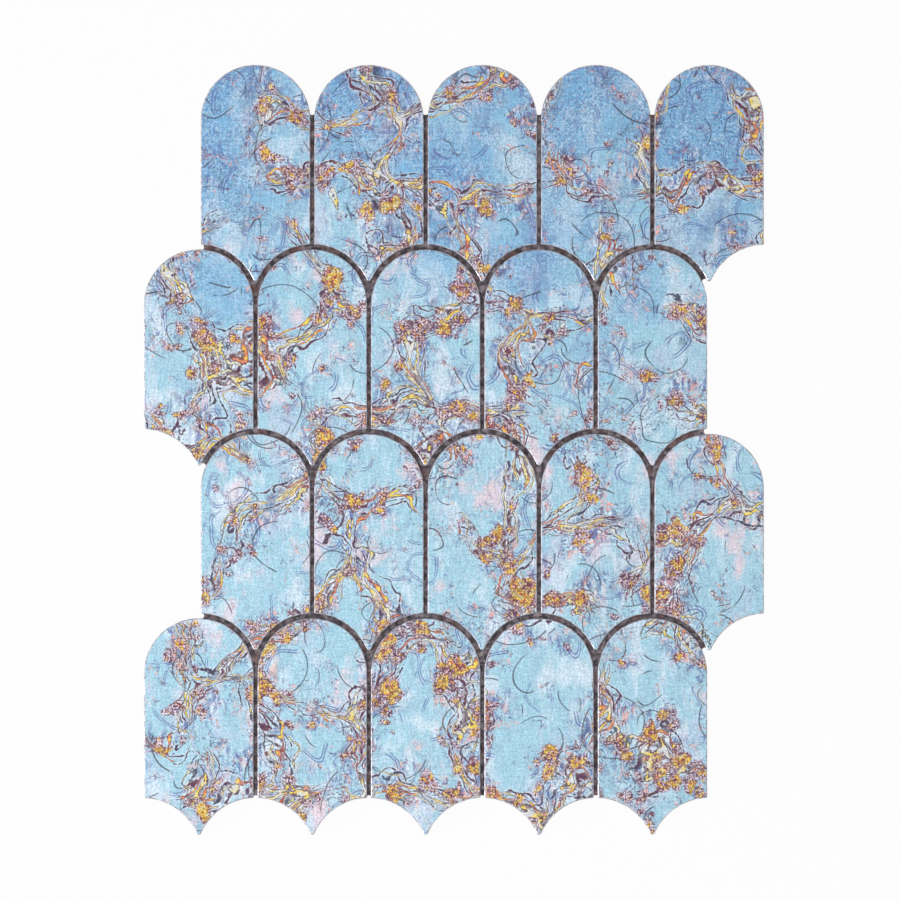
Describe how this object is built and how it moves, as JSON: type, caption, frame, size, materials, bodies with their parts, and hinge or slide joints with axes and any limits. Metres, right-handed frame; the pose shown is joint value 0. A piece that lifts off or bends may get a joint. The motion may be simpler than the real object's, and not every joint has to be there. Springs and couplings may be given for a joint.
{
  "type": "aluminium mosaic tile sheet",
  "caption": "Flat mosaic sheet of printed aluminium chips with round heads and pointed tails, in staggered rows on a dark self-adhesive backing; bonds to a wall and nests with its neighbours.",
  "frame": {"origin": "middle of the sheet's outline at the underside of the backing, on the surface it lies on", "axes": "+Z out of the printed face, +Y towards the round heads of the chips, +X to the right as seen from the front"},
  "size_m": [0.252, 0.313, 0.004],
  "materials": {
    "printed_aluminium": "sky blue marbled print with ochre and rust veining on fine-brushed aluminium, cut edges bare metal",
    "backing": "matt mauve-grey self-adhesive sheet"
  },
  "bodies": {
    "root": {"backing_sheet": "backing", "chip_row1_col1": "printed_aluminium", "chip_row1_col2": "printed_aluminium", "chip_row1_col3": "printed_aluminium", "chip_row1_col4": "printed_aluminium", "chip_row1_col5": "printed_aluminium", "chip_row2_col1": "printed_aluminium", "chip_row2_col2": "printed_aluminium", "chip_row2_col3": "printed_aluminium", "chip_row2_col4": "printed_aluminium", "chip_row2_col5": "printed_aluminium", "chip_row3_col1": "printed_aluminium", "chip_row3_col2": "printed_aluminium", "chip_row3_col3": "printed_aluminium", "chip_row3_col4": "printed_aluminium", "chip_row3_col5": "printed_aluminium", "chip_row4_col1": "printed_aluminium", "chip_row4_col2": "printed_aluminium", "chip_row4_col3": "printed_aluminium", "chip_row4_col4": "printed_aluminium", "chip_row4_col5": "printed_aluminium"}
  },
  "joints": []
}
